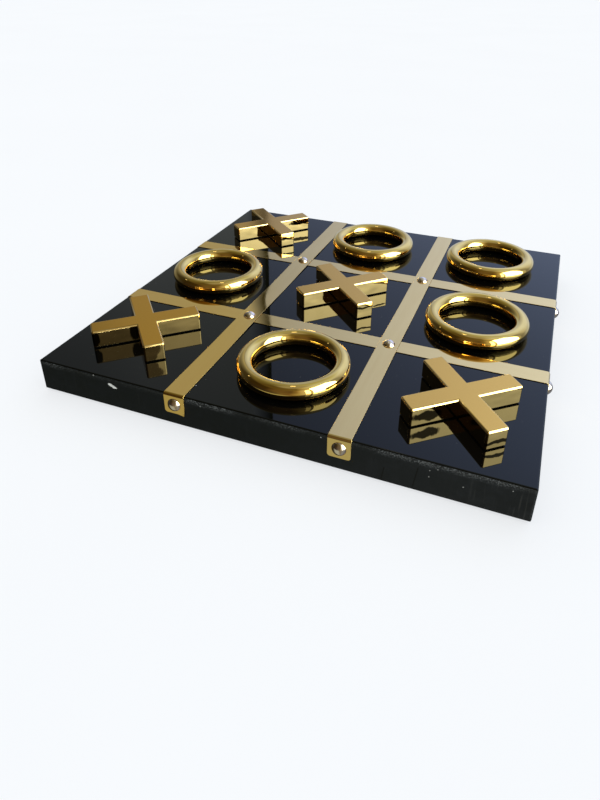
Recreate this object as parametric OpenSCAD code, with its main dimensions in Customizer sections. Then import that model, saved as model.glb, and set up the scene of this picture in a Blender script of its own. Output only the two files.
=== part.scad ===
// Square tic-tac-toe board with folded metal grid strips, loose crosses and loose rings.
// Millimetres. Z is up, X runs to the right along the front edge, Y runs to the back.
// The origin is the middle of the board, on the surface that the board stands on.

/* [Board] */
// Length and width of the square board
board_side = 305; // [295:1:330]
// Thickness of the painted wooden core
core_t = 20.4; // [19:0.1:26]
// Thickness of the gloss panel that lies on the core
panel_t = 2.0; // [1.8:0.1:4]
// Rounding of the board's four upright corners
corner_round = 1.5; // [0.5:0.1:4]
// Rounding along the panel's upper edge, which the strips are bent round
panel_edge_round = 1.2; // [0.4:0.1:1.6]
// Rounding along the core's lower edge
core_edge_round = 2.0; // [0.5:0.1:4]

/* [Strips] */
// Width of each metal strip
strip_w = 13.6; // [11:0.1:16]
// Thickness of each metal strip
strip_t = 0.5; // [0.4:0.1:1.2]
// Distance of the left strip from the board's middle
strip_left_x = 52.8; // [48:0.1:56]
// Distance of the right strip from the board's middle
strip_right_x = 50.5; // [48:0.1:56]
// Distance of the front strip from the board's middle
strip_front_y = 51.5; // [48:0.1:56]
// Distance of the back strip from the board's middle
strip_back_y = 51.8; // [48:0.1:56]
// How far the folded ends reach below the board's upper face
tab_drop = 13.4; // [12:0.1:18]
// Rounding of the two lower corners of a folded end
tab_corner = 1.8; // [0.5:0.1:4]
// Length of the slope on which an upper strip climbs over a lower one
ramp_run = 12; // [2:0.1:14]
// Space between the foot of that slope's top and the lower strip's edge
crossing_clearance = 0.2; // [0.1:0.1:1]

/* [Nails] */
// Diameter of a nail's domed head
nail_head_d = 8.6; // [7:0.1:10]
// Height of a nail's head
nail_head_h = 2.8; // [1.4:0.1:3.5]
// Height of the upright rim at the foot of the dome
nail_rim_h = 0.2; // [0.1:0.1:0.8]
// Diameter of a nail's shank
nail_shank_d = 1.8; // [1.2:0.1:2.6]
// Length of a nail below its head
nail_length = 14; // [9:0.5:18]
// Length of the point at the end of a nail
nail_point = 3; // [1:0.1:5]
// Depth of the side nails below the board's upper face
nail_drop = 7; // [6:0.1:8]
// How much wider than the shank the holes in the strips and the panel are
nail_pass_clearance = 0.3; // [0.1:0.1:0.8]
// How much wider than the shank the pilot holes in the core are
nail_grip_clearance = 0.1; // [0.05:0.05:0.2]
// Space left past the nail's point in a pilot hole
pilot_spare = 0.5; // [0.2:0.1:1]

/* [Crosses] */
// Length of a cross from tip to tip along one bar
cross_span = 71.4; // [60:0.1:74]
// Width of the bars of a cross
cross_bar_w = 13.4; // [10:0.1:16]
// Height of a cross without its pad
cross_h = 11.7; // [8:0.1:16]
// Rounding along the upper edges of a cross
cross_edge_round = 1.1; // [0.2:0.1:2]
// Rounding of the upright corners at the tips of a cross
cross_tip_round = 1.3; // [0.2:0.1:3]
// Thickness of the felt pad under a cross
pad_t = 0.8; // [0.5:0.1:2]
// How far the pad lies inside the outline of its cross
pad_inset = 1.4; // [0.4:0.1:3]

/* [Rings] */
// Outer diameter of a ring
ring_d = 71.6; // [64:0.1:76]
// Diameter of the round bar that a ring is bent from
ring_bar_d = 10.8; // [8:0.1:14]
// Height ground off under a ring, so that it stands on a narrow flat
ring_flat = 0.1; // [0.05:0.05:0.4]

/* [Feet] */
// Diameter of a felt foot
foot_d = 16; // [10:1:24]
// Thickness of a felt foot
foot_t = 1.2; // [0.8:0.1:4]
// Distance of a foot's middle from the board's sides
foot_inset = 20; // [16:1:34]

/* [Layout] */
// Place of the front left cross from the middle of its square
cross_front_left_shift = [-0.4, 5.7]; // [-6:0.1:6]
// Angle of the front left cross
cross_front_left_angle = 42.4; // [0:0.1:90]
// Place of the front right cross from the middle of its square
cross_front_right_shift = [1.5, 3.2]; // [-6:0.1:6]
// Angle of the front right cross
cross_front_right_angle = 39.9; // [0:0.1:90]
// Place of the centre cross from the middle of its square
cross_centre_shift = [0.5, 2.9]; // [-6:0.1:6]
// Angle of the centre cross
cross_centre_angle = 44.8; // [0:0.1:90]
// Place of the back left cross from the middle of its square
cross_back_left_shift = [1.4, -4.0]; // [-6:0.1:6]
// Angle of the back left cross
cross_back_left_angle = 47.8; // [0:0.1:90]
// Place of the front ring from the middle of its square
ring_front_shift = [3.8, 3.7]; // [-6:0.1:6]
// Place of the left ring from the middle of its square
ring_left_shift = [0.8, -1.4]; // [-6:0.1:6]
// Place of the right ring from the middle of its square
ring_right_shift = [-4.0, -3.7]; // [-6:0.1:6]
// Place of the back ring from the middle of its square
ring_back_shift = [-4.9, -2.3]; // [-6:0.1:6]
// Place of the back right ring from the middle of its square
ring_back_right_shift = [-8.8, 0.1]; // [-9:0.1:9]

/* [Hidden] */
$fn = 96;

// Heights: the core stands on the feet, and the pieces and strips on the panel's upper face
core_top_z = foot_t + core_t;
top_z = core_top_z + panel_t;
half = board_side / 2;

// Middle lines of the strips, left to right and front to back
strips_x = [-strip_left_x, strip_right_x];
strips_y = [-strip_front_y, strip_back_y];

// Edges of the nine squares, and their middles
edges_x = [-half, strips_x[0] - strip_w / 2, strips_x[0] + strip_w / 2,
           strips_x[1] - strip_w / 2, strips_x[1] + strip_w / 2, half];
edges_y = [-half, strips_y[0] - strip_w / 2, strips_y[0] + strip_w / 2,
           strips_y[1] - strip_w / 2, strips_y[1] + strip_w / 2, half];
function square_middle(column, row) = [
    (edges_x[2 * column] + edges_x[2 * column + 1]) / 2,
    (edges_y[2 * row] + edges_y[2 * row + 1]) / 2
];
LEFT = 0;
CENTRE = 1;
RIGHT = 2;
FRONT = 0;
BACK = 2;

// Directions in which the board's four sides face, as turns from the X axis
FRONT_SIDE = -90;
RIGHT_SIDE = 0;
BACK_SIDE = 90;
LEFT_SIDE = 180;

// Length that a cutting tool runs past the surface that it cuts
cut = 1;
pass_d = nail_shank_d + nail_pass_clearance;
pilot_d = nail_shank_d + nail_grip_clearance;
crossing_pilot_depth = nail_length - 2 * strip_t - panel_t + pilot_spare;
side_pilot_depth = nail_length - strip_t + pilot_spare;
dome_rise = nail_head_h - nail_rim_h;
dome_r = (pow(nail_head_d / 2, 2) + pow(dome_rise, 2)) / (2 * dome_rise);
step_half = strip_w / 2 + crossing_clearance;
bend_outer_r = panel_edge_round + strip_t;

// A rectangle with four round corners
module rounded_rectangle(length, w, r) {
    square([length, w - 2 * r], center = true);
    square([length - 2 * r, w], center = true);
    for (x = [-1, 1], y = [-1, 1])
        translate([x * (length / 2 - r), y * (w / 2 - r)])
            circle(r);
}

// The end view of a bar or plate that stands on the X axis and has its two upper edges rounded
module rounded_top_profile(w, h, r) {
    translate([-w / 2, 0])
        square([w, h - r]);
    translate([-w / 2 + r, 0])
        square([w - 2 * r, h]);
    for (x = [-1, 1])
        translate([x * (w / 2 - r), h - r])
            circle(r);
}

// A plate or bar with round upright corners, whose upper edges are rounded on all four sides
module rounded_block(length, w, h, edge_r, corner_r) {
    intersection() {
        linear_extrude(h)
            rounded_rectangle(length, w, corner_r);
        rotate([90, 0, 90])
            linear_extrude(length, center = true)
                rounded_top_profile(w, h, edge_r);
        rotate([90, 0, 0])
            linear_extrude(w, center = true)
                rounded_top_profile(length, h, edge_r);
    }
}

// Puts what is drawn along +X onto one side of the board, level with a place on it
module on_side(side, place) {
    along = -place[0] * sin(side) + place[1] * cos(side);
    rotate([0, 0, side])
        translate([half, along, top_z - nail_drop])
            rotate([0, 90, 0])
                children();
}

// Repeats its children at the four places where the strips cross
module at_crossings() {
    for (x = strips_x, y = strips_y)
        translate([x, y, 0])
            children();
}

// Repeats its children at the eight places where a strip is folded over a side
module at_side_nails() {
    for (x = strips_x, side = [FRONT_SIDE, BACK_SIDE])
        on_side(side, [x, 0])
            children();
    for (y = strips_y, side = [LEFT_SIDE, RIGHT_SIDE])
        on_side(side, [0, y])
            children();
}

// Board
module wood_core() {
    color([0.10, 0.10, 0.10])
        difference() {
            translate([0, 0, core_top_z])
                mirror([0, 0, 1])
                    rounded_block(board_side, board_side, core_t, core_edge_round, corner_round);
            at_crossings()
                translate([0, 0, core_top_z - crossing_pilot_depth])
                    cylinder(h = crossing_pilot_depth + cut, d = pilot_d);
            at_side_nails()
                translate([0, 0, -side_pilot_depth])
                    cylinder(h = side_pilot_depth + cut, d = pilot_d);
        }
}

module gloss_top() {
    color([0.05, 0.05, 0.07])
        difference() {
            translate([0, 0, core_top_z])
                rounded_block(board_side, board_side, panel_t, panel_edge_round, corner_round);
            at_crossings()
                translate([0, 0, core_top_z - cut])
                    cylinder(h = panel_t + 2 * cut, d = pass_d);
        }
}

// Strips
// Underside of a strip along its length, with a step over each place in crossed
function strip_underside(crossed) = [
    [-half + panel_edge_round, 0],
    for (x = crossed)
        each [
            [x - step_half - ramp_run, 0],
            [x - step_half, strip_t],
            [x + step_half, strip_t],
            [x + step_half + ramp_run, 0]
        ],
    [half - panel_edge_round, 0]
];

// Side view of a strip, whose upper run lies on the X axis and whose ends are folded down
module strip_side_view(crossed) {
    under = strip_underside(crossed);
    count = len(under);
    polygon(concat(under, [for (i = [1:count]) under[count - i] + [0, strip_t]]));
    for (end = [0, 1])
        mirror([end, 0]) {
            translate([half - panel_edge_round, -panel_edge_round])
                intersection() {
                    difference() {
                        circle(bend_outer_r);
                        circle(panel_edge_round);
                    }
                    square(bend_outer_r + cut);
                }
            translate([half, -tab_drop])
                square([strip_t, tab_drop - panel_edge_round]);
        }
}

// End view of a strip, with the lower corners of its folded ends rounded
module strip_end_view() {
    translate([-strip_w / 2 + tab_corner, -tab_drop])
        square([strip_w - 2 * tab_corner, tab_drop + 2 * strip_t]);
    translate([-strip_w / 2, -tab_drop + tab_corner])
        square([strip_w, tab_drop - tab_corner + 2 * strip_t]);
    for (x = [-1, 1])
        translate([x * (strip_w / 2 - tab_corner), -tab_drop + tab_corner])
            circle(tab_corner);
}

// A strip along the X axis, with holes at the nails and steps over the strips that it crosses
module strip(nails, crossed) {
    length = board_side + 2 * strip_t;
    color([0.72, 0.60, 0.34])
        difference() {
            intersection() {
                rotate([90, 0, 0])
                    linear_extrude(strip_w, center = true)
                        strip_side_view(crossed);
                rotate([90, 0, 90])
                    linear_extrude(length, center = true)
                        strip_end_view();
            }
            for (x = nails)
                translate([x, 0, -cut])
                    cylinder(h = 2 * strip_t + 2 * cut, d = pass_d);
            for (end = [-1, 1])
                translate([end * half, 0, -nail_drop])
                    rotate([0, 90, 0])
                        cylinder(h = 2 * (strip_t + cut), d = pass_d, center = true);
        }
}

module upper_strip(x) {
    translate([x, 0, top_z])
        rotate([0, 0, 90])
            strip(strips_y, strips_y);
}

module lower_strip(y) {
    translate([0, y, top_z])
        strip(strips_x, []);
}

module strip_left() upper_strip(strips_x[0]);
module strip_right() upper_strip(strips_x[1]);
module strip_front() lower_strip(strips_y[0]);
module strip_back() lower_strip(strips_y[1]);

// Nails
// A dome-head nail that points down, with the underside of its head at the origin
module nail() {
    color([0.78, 0.77, 0.76])
        rotate_extrude() {
            square([nail_head_d / 2, nail_rim_h]);
            intersection() {
                translate([0, nail_head_h - dome_r])
                    circle(dome_r);
                square([nail_head_d / 2, nail_head_h]);
            }
            translate([0, nail_point - nail_length]) {
                square([nail_shank_d / 2, nail_length - nail_point]);
                polygon([[0, -nail_point], [nail_shank_d / 2, 0], [0, 0]]);
            }
        }
}

module crossing_nail(x, y) {
    translate([x, y, top_z + 2 * strip_t])
        nail();
}

module side_nail(side, place) {
    on_side(side, place)
        translate([0, 0, strip_t])
            nail();
}

module nail_crossing_front_left() crossing_nail(strips_x[0], strips_y[0]);
module nail_crossing_front_right() crossing_nail(strips_x[1], strips_y[0]);
module nail_crossing_back_left() crossing_nail(strips_x[0], strips_y[1]);
module nail_crossing_back_right() crossing_nail(strips_x[1], strips_y[1]);
module nail_front_left() side_nail(FRONT_SIDE, [strips_x[0], 0]);
module nail_front_right() side_nail(FRONT_SIDE, [strips_x[1], 0]);
module nail_right_front() side_nail(RIGHT_SIDE, [0, strips_y[0]]);
module nail_right_back() side_nail(RIGHT_SIDE, [0, strips_y[1]]);
module nail_back_left() side_nail(BACK_SIDE, [strips_x[0], 0]);
module nail_back_right() side_nail(BACK_SIDE, [strips_x[1], 0]);
module nail_left_front() side_nail(LEFT_SIDE, [0, strips_y[0]]);
module nail_left_back() side_nail(LEFT_SIDE, [0, strips_y[1]]);

// Feet
module foot(x, y) {
    color([0.15, 0.15, 0.15])
        translate([x * (half - foot_inset), y * (half - foot_inset), 0])
            cylinder(h = foot_t, d = foot_d);
}

module foot_front_left() foot(-1, -1);
module foot_front_right() foot(1, -1);
module foot_back_left() foot(-1, 1);
module foot_back_right() foot(1, 1);

// Crosses
// Stands its children on the board, in the square of a column and row
module on_square(column, row, shift, turn = 0) {
    middle = square_middle(column, row) + shift;
    translate([middle[0], middle[1], top_z])
        rotate([0, 0, turn])
            children();
}

module cross() {
    color([0.75, 0.62, 0.36])
        translate([0, 0, pad_t])
            for (turn = [0, 90])
                rotate([0, 0, turn])
                    rounded_block(cross_span, cross_bar_w, cross_h, cross_edge_round, cross_tip_round);
}

module pad() {
    color([0.06, 0.06, 0.06])
        linear_extrude(pad_t)
            for (turn = [0, 90])
                rotate(turn)
                    square([cross_span - 2 * pad_inset, cross_bar_w - 2 * pad_inset], center = true);
}

module on_front_left() on_square(LEFT, FRONT, cross_front_left_shift, cross_front_left_angle) children();
module on_front_right() on_square(RIGHT, FRONT, cross_front_right_shift, cross_front_right_angle) children();
module on_centre() on_square(CENTRE, CENTRE, cross_centre_shift, cross_centre_angle) children();
module on_back_left() on_square(LEFT, BACK, cross_back_left_shift, cross_back_left_angle) children();

module cross_front_left() on_front_left() cross();
module cross_front_right() on_front_right() cross();
module cross_centre() on_centre() cross();
module cross_back_left() on_back_left() cross();
module pad_front_left() on_front_left() pad();
module pad_front_right() on_front_right() pad();
module pad_centre() on_centre() pad();
module pad_back_left() on_back_left() pad();

// Rings
module ring() {
    color([0.80, 0.66, 0.38])
        rotate_extrude()
            intersection() {
                translate([(ring_d - ring_bar_d) / 2, ring_bar_d / 2 - ring_flat])
                    circle(d = ring_bar_d);
                square([ring_d, ring_bar_d]);
            }
}

module ring_front() on_square(CENTRE, FRONT, ring_front_shift) ring();
module ring_left() on_square(LEFT, CENTRE, ring_left_shift) ring();
module ring_right() on_square(RIGHT, CENTRE, ring_right_shift) ring();
module ring_back() on_square(CENTRE, BACK, ring_back_shift) ring();
module ring_back_right() on_square(RIGHT, BACK, ring_back_right_shift) ring();

wood_core();
gloss_top();
strip_left();
strip_right();
strip_front();
strip_back();
nail_crossing_front_left();
nail_crossing_front_right();
nail_crossing_back_left();
nail_crossing_back_right();
nail_front_left();
nail_front_right();
nail_right_front();
nail_right_back();
nail_back_left();
nail_back_right();
nail_left_front();
nail_left_back();
foot_front_left();
foot_front_right();
foot_back_left();
foot_back_right();
cross_front_left();
cross_front_right();
cross_centre();
cross_back_left();
pad_front_left();
pad_front_right();
pad_centre();
pad_back_left();
ring_front();
ring_left();
ring_right();
ring_back();
ring_back_right();
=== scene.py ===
# Square tic-tac-toe board: a gloss black panel on a painted wooden core, a grid of folded metal
# strips held by dome-head nails, and loose metal crosses and rings that stand on it.
# Metres, Z up, X to the right along the front edge, Y to the back.
import math
import bpy
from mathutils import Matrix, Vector


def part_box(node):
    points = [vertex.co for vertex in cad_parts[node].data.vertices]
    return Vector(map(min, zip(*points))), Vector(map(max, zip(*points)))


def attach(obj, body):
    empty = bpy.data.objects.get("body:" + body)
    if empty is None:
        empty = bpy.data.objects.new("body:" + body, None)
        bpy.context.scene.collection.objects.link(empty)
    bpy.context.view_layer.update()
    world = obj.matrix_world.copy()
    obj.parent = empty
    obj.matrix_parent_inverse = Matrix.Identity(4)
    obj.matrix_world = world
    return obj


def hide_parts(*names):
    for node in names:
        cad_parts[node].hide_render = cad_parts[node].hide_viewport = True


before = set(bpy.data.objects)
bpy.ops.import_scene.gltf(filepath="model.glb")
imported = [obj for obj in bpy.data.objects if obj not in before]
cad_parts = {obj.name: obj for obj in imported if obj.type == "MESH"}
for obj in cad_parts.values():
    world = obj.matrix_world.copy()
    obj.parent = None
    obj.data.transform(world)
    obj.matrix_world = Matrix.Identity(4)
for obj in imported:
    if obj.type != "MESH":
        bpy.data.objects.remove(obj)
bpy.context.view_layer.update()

MM = 0.001

# The camera. Its place, turn, lens and shift were solved from the edges of the board and its strips in
# the photograph
CAMERA_PLACE = (0.1288, -0.4002, 0.2455)
CAMERA_TURN = (61.59, -0.43, 21.37)
CAMERA_LENS = 28.03
CAMERA_SHIFT = (-0.0127, -0.1198)
SENSOR_HEIGHT = 36
NEAREST_SEEN = 0.01

# Side of the floor, and of the even light that hangs over it
FLOOR_SIDE = 60

# Sizes of the crosses, rings, nails and folded ends, the same as in the part
CROSS_SPAN = 71.4 * MM
CROSS_BAR = 13.4 * MM
CROSS_TOP_ROUND = 1.1 * MM
CROSS_TIP_ROUND = 1.3 * MM
CROSS_TURNS = {"cross_front_left": 42.4, "cross_front_right": 39.9,
               "cross_centre": 44.8, "cross_back_left": 47.8}
RING_NODES = ["ring_front", "ring_left", "ring_right", "ring_back", "ring_back_right"]
RING_BAR = 10.8 * MM
RING_FLAT = 0.1 * MM
NAIL_HEAD = 8.6 * MM
NAIL_HEAD_HEIGHT = 2.8 * MM
NAIL_RIM = 0.2 * MM
NAIL_SHANK = 1.8 * MM
NAIL_LENGTH = 14 * MM
NAIL_POINT = 3 * MM
TAB_CORNER = 1.8 * MM
CROSSING_CLEARANCE = 0.2 * MM

# Where the forms differ from the part's: the broken edges of crosses, strips and nail rims, the inner
# radius of the strips' bends, which is 1.2 mm there, and the long gentle slope on which an upper strip
# climbs over a lower one
CROSS_FOOT_ROUND = 0.4 * MM
STRIP_EDGE = 0.15 * MM
NAIL_EDGE = 0.05 * MM
BEND_RADIUS = 1.5 * MM
RAMP_RUN = 42 * MM

# Where the nails are, and which way round the board each side faces, in degrees from the right
CROSSING_NAILS = ["nail_crossing_front_left", "nail_crossing_front_right",
                  "nail_crossing_back_left", "nail_crossing_back_right"]
SIDE_NAILS = {"front": ["nail_front_left", "nail_front_right"],
              "right": ["nail_right_front", "nail_right_back"],
              "back": ["nail_back_left", "nail_back_right"],
              "left": ["nail_left_front", "nail_left_back"]}
SIDE_TURNS = {"front": -90, "right": 0, "back": 90, "left": 180}

# How many steps the round forms are made of
RING_BAR_SIDES = 48
RING_STEPS = 180
DOME_STEPS = 14
NAIL_STEPS = 40
BEND_STEPS = 6
RAMP_STEPS = 6

# How near counts as on a plane, as next to a plane or a place, and as one and the same point
ON_PLANE = 0.01 * MM
NEAR = 0.1 * MM
SAME_POINT = 0.002 * MM

# An edge is upright if its way from end to end rises at least this much in its length
UPRIGHT = 0.9

# Marks on the front side, as places along it and heights from the board's upper face: the overlapping
# lobes of one paint chip, pale specks with their radius, and the stretches where the upper edge is most
# worn, which fade in and out at their ends
CHIP_LOBES = [(-98.4 * MM, -4.8 * MM), (-97.0 * MM, -5.7 * MM), (-95.6 * MM, -6.2 * MM)]
CHIP_RADIUS = 1.1 * MM
CHIP_STRETCH = (0.5, 1.0, 1.0)
FRONT_SPECKS = [(-110.3 * MM, -1.0 * MM, 0.5 * MM), (-35.0 * MM, -3.3 * MM, 0.4 * MM),
                (39.9 * MM, -2.6 * MM, 0.45 * MM), (99.8 * MM, -5.5 * MM, 0.35 * MM),
                (99.7 * MM, -9.8 * MM, 0.35 * MM), (103.8 * MM, -3.6 * MM, 0.35 * MM),
                (117.5 * MM, -10.6 * MM, 0.45 * MM), (141.2 * MM, -4.6 * MM, 0.4 * MM)]
WORN_STRETCHES = [(-147 * MM, -136 * MM), (-45 * MM, -14 * MM), (70 * MM, 144 * MM)]
WORN_FADE = 6 * MM

# The worn band below the upper edge, as heights from the upper face: it starts low down, is full for a
# while, then thins and ends just below the edge
WEAR_STARTS = -4.6 * MM
WEAR_FULL = -1.2 * MM
WEAR_THINS = -0.7 * MM
WEAR_ENDS = -0.4 * MM
WEAR_STRENGTH = 0.75

# Places from left to right: where the paint has reached its paler tone, and between which its grain
# starts to show and shows most
PAINT_PALE_FROM = 110 * MM
GRAIN_SHOWS_FROM = 112 * MM
GRAIN_SHOWS_MOST = 134 * MM

# Dark lines in the grain of the front side, from their upper to their lower end, how far from its middle
# such a line is still solid and where it has faded out, and how dark it is
GRAIN_LINES = [((75.9 * MM, -11.4 * MM), (74.8 * MM, -20.4 * MM)),
               ((93.7 * MM, -5.9 * MM), (91.8 * MM, -19.9 * MM)),
               ((-55.6 * MM, -17.0 * MM), (-60.7 * MM, -21.0 * MM))]
GRAIN_LINE_SOLID = 0.15 * MM
GRAIN_LINE_FADED = 0.45 * MM
GRAIN_LINE_STRENGTH = 0.8

# A grain of dust on the panel, and the heights below its upper face between which the gloss of its
# rounded edge gives way to the painted side
DUST_GRAIN = (-45.2 * MM, -139.3 * MM)
DUST_GRAIN_RADIUS = 0.45 * MM
GLOSS_FADES = -0.35 * MM
GLOSS_ENDS = -0.5 * MM

# Painted dark reflections on the crosses' polished sides, drawn as feathered patches: their place along the
# arm that points right and the arm that points back, their height above the board, half their length and half
# their height
PAINTED_DARK_REFLECTIONS = {
    "cross_front_left": [(-9 * MM, -6.7 * MM, 7 * MM, 3 * MM, 7 * MM),
                         (-34 * MM, -6.7 * MM, 7 * MM, 3 * MM, 6 * MM)],
    "cross_front_right": [(-25.5 * MM, -6.7 * MM, 6.3 * MM, 9.5 * MM, 3.4 * MM),
                          (0, -35.7 * MM, 4.6 * MM, 9 * MM, 1.5 * MM)],
    "cross_centre": [(29 * MM, -6.7 * MM, 9.8 * MM, 6 * MM, 1.0 * MM),
                     (0, -35.7 * MM, 8.4 * MM, 8 * MM, 0.9 * MM)],
    "cross_back_left": [(26 * MM, -6.7 * MM, 8.6 * MM, 12 * MM, 1.6 * MM),
                        (0, -35.7 * MM, 7.6 * MM, 8 * MM, 1.0 * MM)],
}

# How far a painted dark reflection reaches into the metal, how far its outline sways up and down, and how
# dark it is; its feathered rim lies between two shares of its size
DARK_REFLECTION_DEPTH = 1.5 * MM
DARK_REFLECTION_SWAY = 4.0 * MM
DARK_REFLECTION_STRENGTH = 0.97
DARK_REFLECTION_RIM = (1.08, 1.3)

# The bent corner of the front left folded end: the line that it is bent along, as places along the
# front and heights from the board's upper face, and how far the corner stands out
CREASE_LOW = (-50.8 * MM, -13.3 * MM)
CREASE_HIGH = (-46.4 * MM, -8.0 * MM)
CREASE_LIFT = 0.9 * MM

# Stretches, along the way to the back right, in which a warm tone gives way to a paler one, as painted
# light on the strips and on the crosses' upper faces
STRIP_PAINTED_LIGHT_SPAN = (-110 * MM, -45 * MM)
SATIN_PAINTED_LIGHT_SPAN = (-160 * MM, 0.0)

# Colours of the finishes. A pair holds the two tones that a surface varies between
PANEL_BLACK = (0.0012, 0.0014, 0.0014)
DUST_GREY = (0.2, 0.2, 0.2)
DUST_GRAIN_GREY = (0.35, 0.36, 0.36)
PAINT_AT_LEFT = ((0.0022, 0.0038, 0.0052), (0.0044, 0.0064, 0.0082))
PAINT_AT_RIGHT = ((0.0074, 0.0096, 0.0120), (0.0110, 0.0134, 0.0160))
THIN_PAINT = (0.045, 0.047, 0.044)
GRAIN_LINE_BLACK = (0.0005, 0.0006, 0.0007)
WORN_GREY = (0.16, 0.175, 0.18)
SPECK_GREY = (0.28, 0.29, 0.28)
CHIP_WHITE = (0.60, 0.62, 0.60)
# The strips' warm and pale brass, between which a painted light gradient runs across the board
STRIP_WARM = ((0.96, 0.615, 0.185), (0.98, 0.645, 0.20))
STRIP_PALE = ((0.94, 0.655, 0.27), (0.97, 0.69, 0.29))
# Near-black of the strips' upright sides on the panel: a painted shadow line beside each strip
STRIP_PAINTED_SHADOW_EDGE = (0.06, 0.045, 0.03)
# The crosses' warm and pale satin tops, between which a painted light gradient runs across the board
SATIN_WARM = ((0.78, 0.405, 0.05), (0.82, 0.43, 0.056))
SATIN_PALE = ((0.85, 0.475, 0.105), (0.89, 0.50, 0.115))
CROSS_SIDES = ((0.88, 0.62, 0.27), (0.84, 0.59, 0.25))
# Brown-black of the painted dark reflections on the crosses' polished sides
DARK_REFLECTION_BROWN = (0.015, 0.010, 0.004)
RING_GOLD = ((0.94, 0.645, 0.205), (0.91, 0.615, 0.19))
NAIL_NICKEL = ((0.92, 0.79, 0.72), (0.84, 0.72, 0.66))
FELT_BLACK = ((0.006, 0.006, 0.006), (0.03, 0.03, 0.03))
FLOOR_GREY = ((0.24, 0.245, 0.25), (0.25, 0.255, 0.26))
FLOOR_GLOW = ((0.92, 0.94, 0.97), (0.94, 0.96, 0.99))


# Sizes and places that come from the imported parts
top_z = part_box("gloss_top")[1].z
half_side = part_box("gloss_top")[1].x
strip_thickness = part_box("strip_front")[1].z - top_z
strip_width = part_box("strip_left")[1].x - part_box("strip_left")[0].x
tab_drop = top_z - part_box("strip_front")[0].z


def middle_of(name):
    """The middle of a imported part's box."""
    low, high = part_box(name)
    return (low + high) / 2


# Helpers for shader nodes
def fill(tree, made, values):
    """Gives each named or numbered input of a node its number, vector or colour, or links it to a socket."""
    for name, value in values.items():
        if isinstance(value, bpy.types.NodeSocket):
            tree.links.new(value, made.inputs[name])
        else:
            made.inputs[name].default_value = value


def node(tree, kind, values=None, **settings):
    """Adds a shader node with its settings and its inputs."""
    made = tree.nodes.new(kind)
    for name, setting in settings.items():
        setattr(made, name, setting)
    fill(tree, made, values or {})
    return made


def new_group(name, inputs, outputs):
    """An empty node group with named sockets; gives the group, its input node and its output node."""
    group = bpy.data.node_groups.new(name, "ShaderNodeTree")
    for label, kind, value in inputs:
        socket = group.interface.new_socket(label, in_out="INPUT", socket_type=kind)
        if value is not None:
            socket.default_value = value
    for label, kind in outputs:
        group.interface.new_socket(label, in_out="OUTPUT", socket_type=kind)
    return group, group.nodes.new("NodeGroupInput"), group.nodes.new("NodeGroupOutput")


def use_group(tree, group, values):
    """Places a node group with its values, and gives the sockets that it puts out."""
    return node(tree, "ShaderNodeGroup", values, node_tree=group).outputs


def math_node(tree, operation, first, second=0.0):
    return node(tree, "ShaderNodeMath", {0: first, 1: second}, operation=operation).outputs[0]


def product(tree, first, *others):
    """Masks or numbers multiplied together."""
    for other in others:
        first = math_node(tree, "MULTIPLY", first, other)
    return first


def vector_math(tree, operation, first, second):
    values = {0: first, 1: second}
    return node(tree, "ShaderNodeVectorMath", values, operation=operation).outputs["Vector"]


def length_of(tree, vector):
    return node(tree, "ShaderNodeVectorMath", {0: vector}, operation="LENGTH").outputs["Value"]


def parts_of(tree, vector):
    """The X, Y and Z sockets of a vector."""
    return node(tree, "ShaderNodeSeparateXYZ", {"Vector": vector}).outputs


def mapped(tree, value, low, high, to_low=0.0, to_high=1.0, smooth=False):
    """Maps a value from one range to another, held at both ends."""
    ranges = {"Value": value, "From Min": low, "From Max": high, "To Min": to_low, "To Max": to_high}
    kind = "SMOOTHSTEP" if smooth else "LINEAR"
    return node(tree, "ShaderNodeMapRange", ranges, interpolation_type=kind).outputs["Result"]


def as_colour(value):
    """A socket as it is, or a colour with its alpha added."""
    if isinstance(value, bpy.types.NodeSocket):
        return value
    return (*value, 1)


# A Mix node's sockets for numbers and for colours share their names, so they are told apart by number
def blended(tree, factor, first, second):
    """Mixes two colours by a mask."""
    values = {"Factor": factor, 6: as_colour(first), 7: as_colour(second)}
    return node(tree, "ShaderNodeMix", values, data_type="RGBA").outputs[2]


def blended_number(tree, factor, first, second):
    """Mixes two numbers by a mask or a share."""
    values = {"Factor": factor, 2: first, 3: second}
    return node(tree, "ShaderNodeMix", values, data_type="FLOAT").outputs[0]


def noise(tree, vector, scale, detail=3.0, roughness=0.5, distortion=0.0):
    values = {"Vector": vector, "Scale": scale, "Detail": detail, "Roughness": roughness,
              "Distortion": distortion}
    return node(tree, "ShaderNodeTexNoise", values).outputs["Fac"]


def stretched(tree, vector, scale, turn=0.0):
    """Coordinates scaled by three numbers, after a turn about Z in degrees."""
    values = {"Vector": vector, "Rotation": (0, 0, math.radians(turn)), "Scale": scale}
    return node(tree, "ShaderNodeMapping", values).outputs["Vector"]


def surface(tree, kind):
    """A surface's places in its object, for the kind Object, or the way that it faces, for Normal. In the
    room, Generated gives the way from the middle to each place."""
    return tree.nodes.new("ShaderNodeTexCoord").outputs[kind]


def new_material(name):
    """A material with a plain Principled shader; gives the material, its tree, the shader, and the places
    on the surface."""
    material = bpy.data.materials.new(name)
    material.use_nodes = True
    tree = material.node_tree
    return material, tree, tree.nodes["Principled BSDF"], surface(tree, "Object")


def bumped(tree, height, strength, distance):
    """The normals of a surface with a height added."""
    values = {"Strength": strength, "Distance": distance, "Height": height}
    return node(tree, "ShaderNodeBump", values).outputs["Normal"]


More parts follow.
